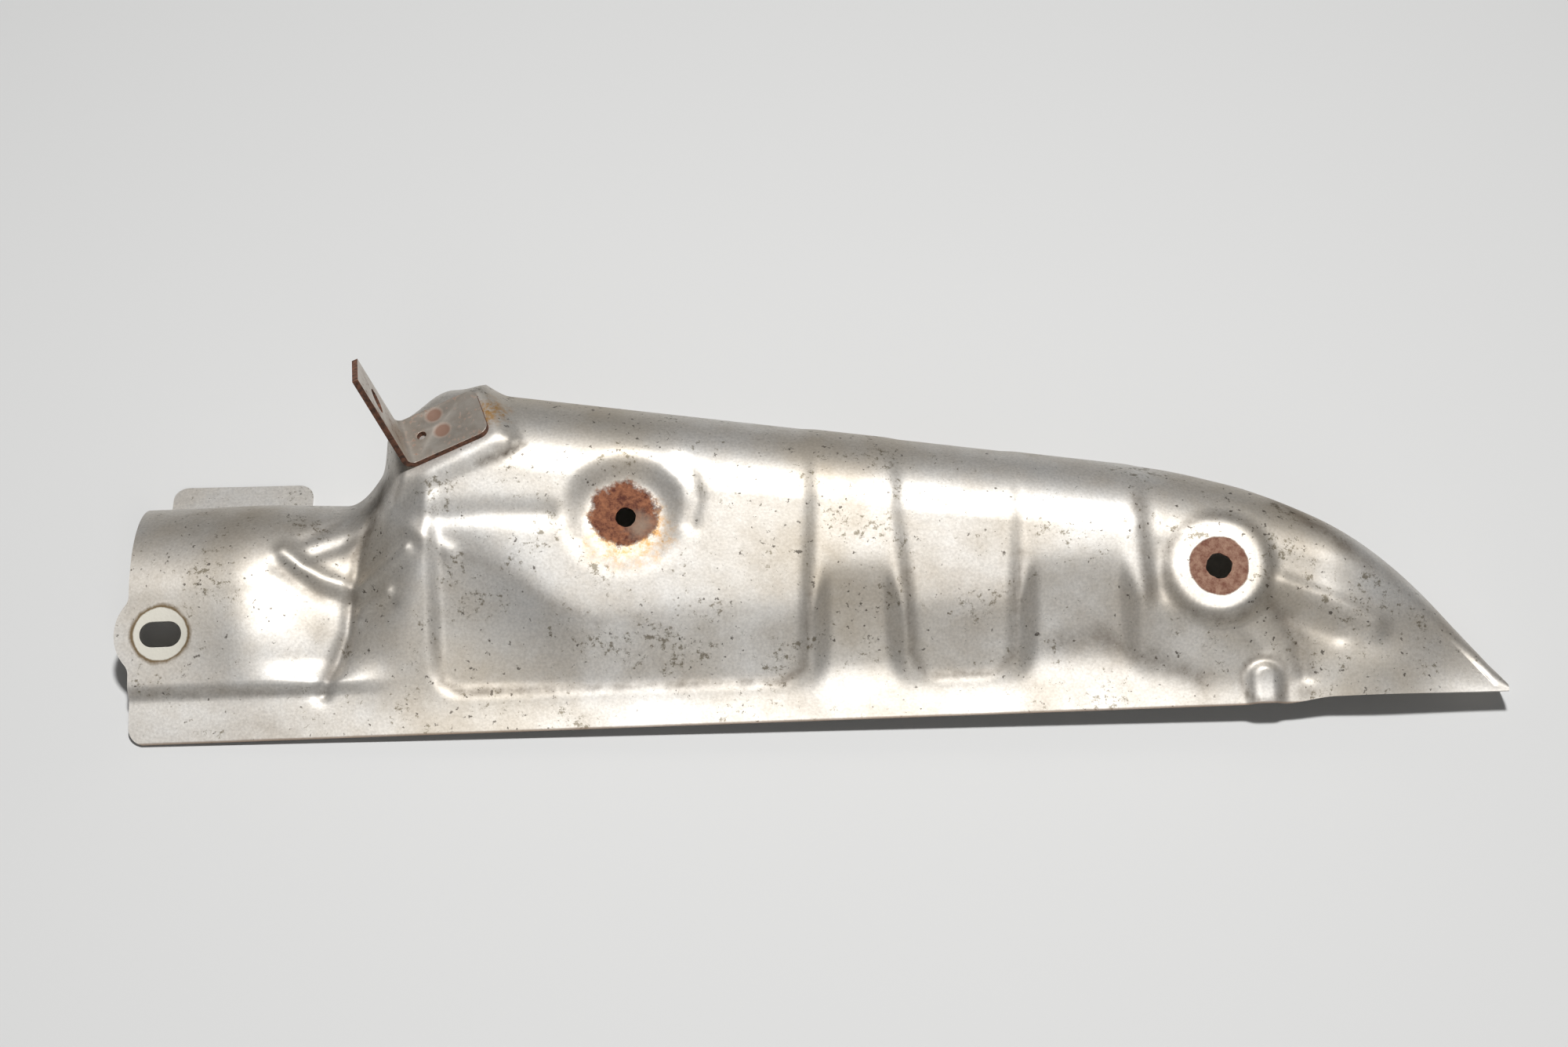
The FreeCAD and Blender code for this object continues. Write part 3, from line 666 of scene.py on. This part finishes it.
# Bolt places: a ragged rust patch with a yellow fringe and a bare spot at the first hole,
# a crisp washer print at the second, and a pale print with a brown rim at the slot
SLOT_PAD = Vector((SLOT.x, SLOT.y, 5.0))
WASHER = 9.4
SLOT_WASHER = 8.6
hole_fringe = spot(FIRST_HOLE + Vector((1.0, -4.0, 0.0)), 8.0, 7.0, 5.0)
plate_end = SEAT + SEAT_TURN @ Vector((0.5 * PLATE_LENGTH + 2.0, 0.0, 0.0))
plate_fringe = spot(plate_end, 2.0, 7.0, 5.0)
fringe = add(tree, "ShaderNodeMath", {0: hole_fringe, 1: plate_fringe}, operation="MAXIMUM")
patchy = add(tree, "ShaderNodeMapRange", graded(pattern["fleck"], 0.42, 0.58, 0.1, 0.9))
fringe = add(tree, "ShaderNodeMath", {0: fringe, 1: patchy}, operation="MULTIPLY")
first_rust = spot(FIRST_HOLE + Vector((-0.5, 1.0, 0.0)), 9.6, 1.8, 2.6)
bare = spot(FIRST_HOLE + Vector((4.5, -2.5, 0.0)), -3.0, 9.0, 3.5)
second_rust = spot(SECOND_HOLE, WASHER, 0.5, 0.35)
rust = add(tree, "ShaderNodeMath", {0: first_rust, 1: second_rust}, operation="MAXIMUM")
slot_print = spot(SLOT_PAD, SLOT_WASHER, 0.4, 0.3)
slot_rim = spot(SLOT_PAD, SLOT_WASHER + 0.7, 1.2, 0.8)
rust_tone = add(tree, "ShaderNodeMapRange", graded(pattern["fleck"], 0.38, 0.62, 0.0, 1.0))
first_colour = add(
    tree,
    "ShaderNodeMix",
    {"Factor": rust_tone, "A": linear("5A2F24"), "B": linear("A36B4C")},
    data_type="RGBA",
)
second_colour = add(
    tree,
    "ShaderNodeMix",
    {"Factor": rust_tone, "A": linear("7A4F3F"), "B": linear("A98570")},
    data_type="RGBA",
)

# Thin brown line along the cut front edge
up_face = add(tree, "ShaderNodeSeparateXYZ", {"Vector": press}, output="Y")
cut_edge = add(tree, "ShaderNodeMapRange", graded(up_face, 0.25, 0.8, 0.75, 0.0))

for layer, covering in (
    (film, linear("A89676")),
    (flecks, linear("6E644E")),
    (specks, linear("463E35")),
    (folds, linear("5C4F40")),
    (slot_rim, linear("7C6A50")),
    (slot_print, linear("DEDACE")),
    (fringe, linear("C2924E")),
    (first_rust, first_colour),
    (second_rust, second_colour),
    (bare, linear("A08C7A")),
    (cut_edge, linear("6E5238")),
):
    colour = add(tree, "ShaderNodeMix", {"Factor": layer, "A": colour, "B": covering}, data_type="RGBA")

METAL_SHARE = 0.75
FOLD_ROUGHNESS = 0.3
RUST_ROUGHNESS = 0.4
dull = add(tree, "ShaderNodeMath", {0: rust, 1: cut_edge}, operation="MAXIMUM")
metallic = add(tree, "ShaderNodeMapRange", graded(dull, 0.0, 1.0, METAL_SHARE, 0.0))
roughness = add(tree, "ShaderNodeMapRange", graded(pattern["mottle"], 0.3, 0.7, 0.45, 0.56))
for layer, added in ((folds, FOLD_ROUGHNESS), (rust, RUST_ROUGHNESS)):
    roughness = add(
        tree,
        "ShaderNodeMath",
        {0: layer, 1: added, 2: roughness},
        operation="MULTIPLY_ADD",
    )
relief = add(
    tree,
    "ShaderNodeMath",
    {0: rust, 1: pattern["speck"], 2: pattern["grain"]},
    operation="MULTIPLY_ADD",
)
bump = add(tree, "ShaderNodeBump", {"Height": relief, "Strength": 0.14, "Distance": 0.12 * MM})
surface = add(
    tree,
    "ShaderNodeBsdfPrincipled",
    {"Base Color": colour, "Metallic": metallic, "Roughness": roughness, "Normal": bump},
)
add(tree, "ShaderNodeOutputMaterial", {"Surface": surface})
skin.data.materials.clear()
skin.data.materials.append(aluminised_steel)
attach(skin, "root")
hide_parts("shield")

# Bracket: a short length of 2 mm steel strip, bent to an L and spot welded on the crown of the skin.
# Its leg is sheared at a slant and pierced for a bolt; the cut edges have gone brown with rust.
STRIP_GAUGE = 2.0
BEND_RADIUS = 2.5
LEG_LONG = 47.0
LEG_SHORT = 36.0
PLATE_CORNER = 3.5
LEG_HOLE_HEIGHT = 25.0
LEG_HOLE_RADIUS = 4.2
PILOT = Vector((-6.5, 0.0, STRIP_GAUGE))
PILOT_RADIUS = 1.6
WELDS = (Vector((0.5, -1.6, STRIP_GAUGE)), Vector((-0.5, 6.2, STRIP_GAUGE)))
WELD_RADIUS = 2.8
WELD_DISH = 0.5
WELD_RUST = 2.2
WELD_RUST_END = 3.6
EDGE_BREAK = 0.25
EDGE_ANGLE = radians(50.0)
HOLE_SEGMENTS = 40
DISH_SEGMENTS = 48

half_plate = PLATE_LENGTH / 2.0
half_width = STRIP_WIDTH / 2.0
outer_bend = BEND_RADIUS + STRIP_GAUGE
bend_start = outer_bend - half_plate
bend_length = (BEND_RADIUS + STRIP_GAUGE / 2.0) * pi / 2.0
leg_start = bend_start - bend_length


def unfolded(height):
    """Place along the flat strip of a height up the leg."""
    return leg_start - (height - outer_bend)


def folded(place):
    """Place on the bent bracket of a place on the flat strip."""
    x, y, z = place
    if x > bend_start:
        return Vector((x, y, z))
    angle = min((bend_start - x) / (bend_start - leg_start), 1.0) * pi / 2.0
    up_leg = max(leg_start - x, 0.0)
    reach = outer_bend - z
    return Vector((bend_start - reach * sin(angle), y, outer_bend - reach * cos(angle) + up_leg))


strip_end = unfolded(LEG_LONG)
shape = bmesh.new()
bmesh.ops.create_cube(shape, size=1.0)
bmesh.ops.translate(shape, verts=shape.verts, vec=(0.5, 0.0, 0.5))
bmesh.ops.scale(shape, verts=shape.verts, vec=(half_plate - strip_end, STRIP_WIDTH, STRIP_GAUGE))
bmesh.ops.translate(shape, verts=shape.verts, vec=(strip_end, 0.0, 0.0))
plate_corners = [
    edge
    for edge in shape.edges
    if all(vertex.co.x > 0 for vertex in edge.verts) and edge.verts[0].co.z != edge.verts[1].co.z
]
bmesh.ops.bevel(
    shape,
    geom=plate_corners,
    offset=PLATE_CORNER,
    segments=CORNER_SEGMENTS,
    profile=0.5,
    affect="EDGES",
    material=-1,
)
slant = Vector((-STRIP_WIDTH, LEG_LONG - LEG_SHORT, 0.0))
sheared = bmesh.ops.bisect_plane(
    shape,
    geom=shape.verts[:] + shape.edges[:] + shape.faces[:],
    plane_co=(strip_end, -half_width, 0.0),
    plane_no=slant,
    clear_outer=True,
)
open_edges = [item for item in sheared["geom_cut"] if isinstance(item, bmesh.types.BMEdge)]
bmesh.ops.holes_fill(shape, edges=open_edges)
BEND_STEPS = 10
for step in range(BEND_STEPS + 1):
    bmesh.ops.bisect_plane(
        shape,
        geom=shape.verts[:] + shape.edges[:] + shape.faces[:],
        plane_co=(leg_start + bend_length * step / BEND_STEPS, 0.0, 0.0),
        plane_no=(1.0, 0.0, 0.0),
    )
bmesh.ops.recalc_face_normals(shape, faces=shape.faces)
bracket = new_piece("strip_bracket", shape)

cutter = bmesh.new()
for x, y, radius in (
    (unfolded(LEG_HOLE_HEIGHT), 0.0, LEG_HOLE_RADIUS),
    (PILOT.x, PILOT.y, PILOT_RADIUS),
):
    bmesh.ops.create_cone(
        cutter,
        cap_ends=True,
        segments=HOLE_SEGMENTS,
        radius1=radius,
        radius2=radius,
        depth=4.0 * STRIP_GAUGE,
        matrix=Matrix.Translation((x, y, STRIP_GAUGE / 2.0)),
    )
dish_radius = (WELD_RADIUS**2 + WELD_DISH**2) / (2.0 * WELD_DISH)
for weld in WELDS:
    bmesh.ops.create_uvsphere(
        cutter,
        u_segments=DISH_SEGMENTS,
        v_segments=DISH_SEGMENTS,
        radius=dish_radius,
        matrix=Matrix.Translation(weld + Vector((0.0, 0.0, dish_radius - WELD_DISH))),
    )
combine(bracket, new_piece("bracket_punches", cutter), "DIFFERENCE")
bracket.data.materials.clear()

shape = bmesh.new()
shape.from_mesh(bracket.data)
CUT_EDGE_SLOT = 1
for face in shape.faces:
    face.smooth = True
    if abs(face.normal.z) < 0.5:
        face.material_index = CUT_EDGE_SLOT
for vertex in shape.verts:
    vertex.co = folded(vertex.co)
shape.normal_update()
seat = rest @ Matrix.Scale(MM, 4) @ Matrix.Translation(SEAT) @ SEAT_TURN
bmesh.ops.transform(shape, matrix=seat, verts=shape.verts)
shape.to_mesh(bracket.data)
shape.free()
bracket.data.set_sharp_from_angle(angle=SMOOTH_ANGLE)
rounded = bracket.modifiers.new("edge_break", "BEVEL")
rounded.width = EDGE_BREAK * MM
rounded.segments = 2
rounded.limit_method = "ANGLE"
rounded.angle_limit = EDGE_ANGLE

# Strip steel with a thin dull plating: a grey satin face with brown stains, and rust on the welds
strip_steel, tree = new_material("strip_steel")
object_place = add(tree, "ShaderNodeTexCoord", {}, output="Object")
PLATING = 12.0
PIT = 1.4
plating = add(
    tree,
    "ShaderNodeTexNoise",
    {"Vector": object_place, "Scale": 1.0 / (PLATING * MM), "Detail": 6.0, "Roughness": 0.65},
)
pits = add(tree, "ShaderNodeTexNoise", {"Vector": object_place, "Scale": 1.0 / (PIT * MM), "Detail": 3.0})
tone = add(tree, "ShaderNodeMapRange", {"Value": plating, "From Min": 0.35, "From Max": 0.65})
colour = add(
    tree,
    "ShaderNodeMix",
    {"Factor": tone, "A": linear("D2CBC1"), "B": linear("B5A99C")},
    data_type="RGBA",
)
rust_spots = add(tree, "ShaderNodeMath", {0: plating, 1: pits}, operation="ADD")
rust = add(
    tree,
    "ShaderNodeMapRange",
    {"Value": rust_spots, "From Min": 1.12, "From Max": 1.26, "To Max": 0.7},
)
for weld in WELDS:
    away = add(tree, "ShaderNodeVectorMath", {0: object_place, 1: seat @ weld}, operation="DISTANCE")
    ring = add(
        tree,
        "ShaderNodeMapRange",
        graded(away, WELD_RUST * MM, WELD_RUST_END * MM, 0.85, 0.0),
    )
    rust = add(tree, "ShaderNodeMath", {0: rust, 1: ring}, operation="MAXIMUM")
colour = add(
    tree,
    "ShaderNodeMix",
    {"Factor": rust, "A": colour, "B": linear("7C5642")},
    data_type="RGBA",
)
metallic = add(tree, "ShaderNodeMapRange", {"Value": rust, "To Min": 0.7, "To Max": 0.0})
roughness = add(tree, "ShaderNodeMapRange", {"Value": rust, "To Min": 0.42, "To Max": 0.85})
bump = add(tree, "ShaderNodeBump", {"Height": pits, "Strength": 0.25, "Distance": 0.15 * MM})
surface = add(
    tree,
    "ShaderNodeBsdfPrincipled",
    {"Base Color": colour, "Metallic": metallic, "Roughness": roughness, "Normal": bump},
)
add(tree, "ShaderNodeOutputMaterial", {"Surface": surface})

# Sheared edge of the same strip, bare of plating: dry brown rust with darker scale
sheared_edge, tree = new_material("rusted_sheared_edge")
object_place = add(tree, "ShaderNodeTexCoord", {}, output="Object")
scale_spots = add(
    tree,
    "ShaderNodeTexNoise",
    {"Vector": object_place, "Scale": 1.0 / (PIT * MM), "Detail": 5.0},
)
tone = add(tree, "ShaderNodeMapRange", {"Value": scale_spots, "From Min": 0.35, "From Max": 0.65})
colour = add(
    tree,
    "ShaderNodeMix",
    {"Factor": tone, "A": linear("4A3429"), "B": linear("835843")},
    data_type="RGBA",
)
bump = add(tree, "ShaderNodeBump", {"Height": scale_spots, "Strength": 0.4, "Distance": 0.2 * MM})
surface = add(
    tree,
    "ShaderNodeBsdfPrincipled",
    {"Base Color": colour, "Roughness": 0.85, "Normal": bump},
)
add(tree, "ShaderNodeOutputMaterial", {"Surface": surface})
bracket.data.materials.append(strip_steel)
bracket.data.materials.append(sheared_edge)
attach(bracket, "root")
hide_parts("bracket")

# Floor: a plain pale sheet that the shield lies on, wide enough to fill every view
FLOOR_SIZE = 12.0
shape = bmesh.new()
bmesh.ops.create_grid(shape, x_segments=1, y_segments=1, size=FLOOR_SIZE / 2.0)
floor = new_piece("floor", shape)
pale_sheet, tree = new_material("pale_floor_sheet")
surface = add(tree, "ShaderNodeBsdfPrincipled", {"Base Color": linear("E0E0DF"), "Roughness": 0.9})
add(tree, "ShaderNodeOutputMaterial", {"Surface": surface})
floor.data.materials.append(pale_sheet)

# Light: a small bright lamp overhead, which drops a crisp shadow under the lifted front edge,
# and a weak soft panel in front that brings out the walls, in a dim grey room
ROOM_LEVEL = 0.06
LAMPS = (
    ("overhead_lamp", Vector((0.05, 0.06, 1.5)), 0.16, 19.5),
    ("front_panel", Vector((0.0, -1.3, 0.95)), 0.8, 3.0),
)
world = bpy.data.worlds.new("grey_room")
world.use_nodes = True
world.node_tree.nodes.clear()
room = add(world.node_tree, "ShaderNodeBackground", {"Color": linear("FFFFFF"), "Strength": ROOM_LEVEL})
add(world.node_tree, "ShaderNodeOutputWorld", {"Surface": room})
bpy.context.scene.world = world
for name, place, size, power in LAMPS:
    lamp = bpy.data.lights.new(name, "AREA")
    lamp.size = size
    lamp.energy = power
    stand = bpy.data.objects.new(name, lamp)
    stand.location = place
    stand.rotation_euler = place.to_track_quat("Z", "Y").to_euler()
    bpy.context.scene.collection.objects.link(stand)

# Camera: looks down at the face from the front, as the picture was taken
CAMERA_PLACE = (-0.0228, -0.52742, 0.72632)
AZIMUTH = radians(-1.711)
ELEVATION = radians(53.0)
SENSOR_WIDTH = 36.0
FOCAL_LENGTH = 60.77
camera_data = bpy.data.cameras.new("camera")
camera_data.sensor_fit = "HORIZONTAL"
camera_data.sensor_width = SENSOR_WIDTH
camera_data.lens = FOCAL_LENGTH
camera = bpy.data.objects.new("camera", camera_data)
back = Vector((sin(AZIMUTH) * cos(ELEVATION), -cos(AZIMUTH) * cos(ELEVATION), sin(ELEVATION)))
camera.location = CAMERA_PLACE
camera.rotation_euler = back.to_track_quat("Z", "Y").to_euler()
bpy.context.scene.collection.objects.link(camera)
bpy.context.scene.camera = camera
bpy.context.scene.view_settings.view_transform = "Standard"
